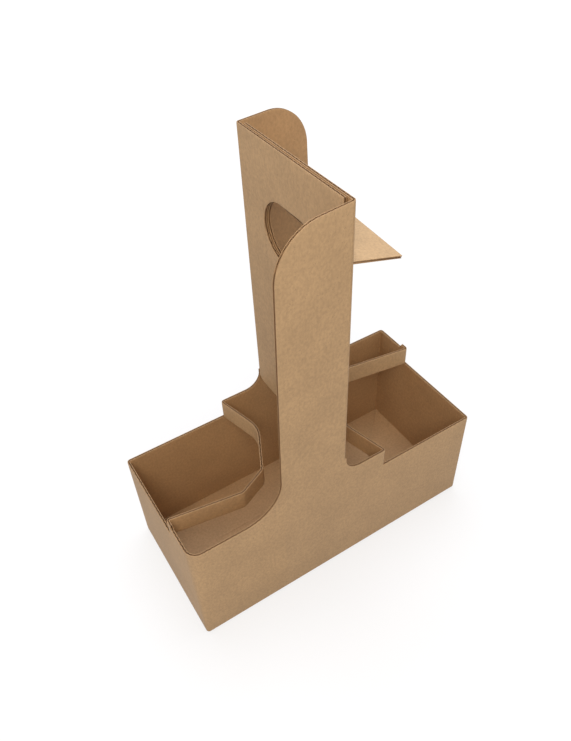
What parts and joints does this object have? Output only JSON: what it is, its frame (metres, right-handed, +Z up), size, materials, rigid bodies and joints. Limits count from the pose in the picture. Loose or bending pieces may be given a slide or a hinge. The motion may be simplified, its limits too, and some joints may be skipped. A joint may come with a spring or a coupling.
{
  "type": "cup carrier",
  "caption": "Kraft corrugated cup carrier with a tall folded handle, a hand hole with its flap, and pushed-in straps that form the cup pockets.",
  "frame": {"origin": "middle of the tray's underside", "axes": "+Z up along the handle, +X along the tray towards the side where the hand hole's flap swings out, +Y across the tray"},
  "size_m": [0.2, 0.1016, 0.265],
  "materials": {
    "kraft_board": "matt"
  },
  "bodies": {
    "root": {"cup_carrier": "kraft_board"}
  },
  "joints": []
}
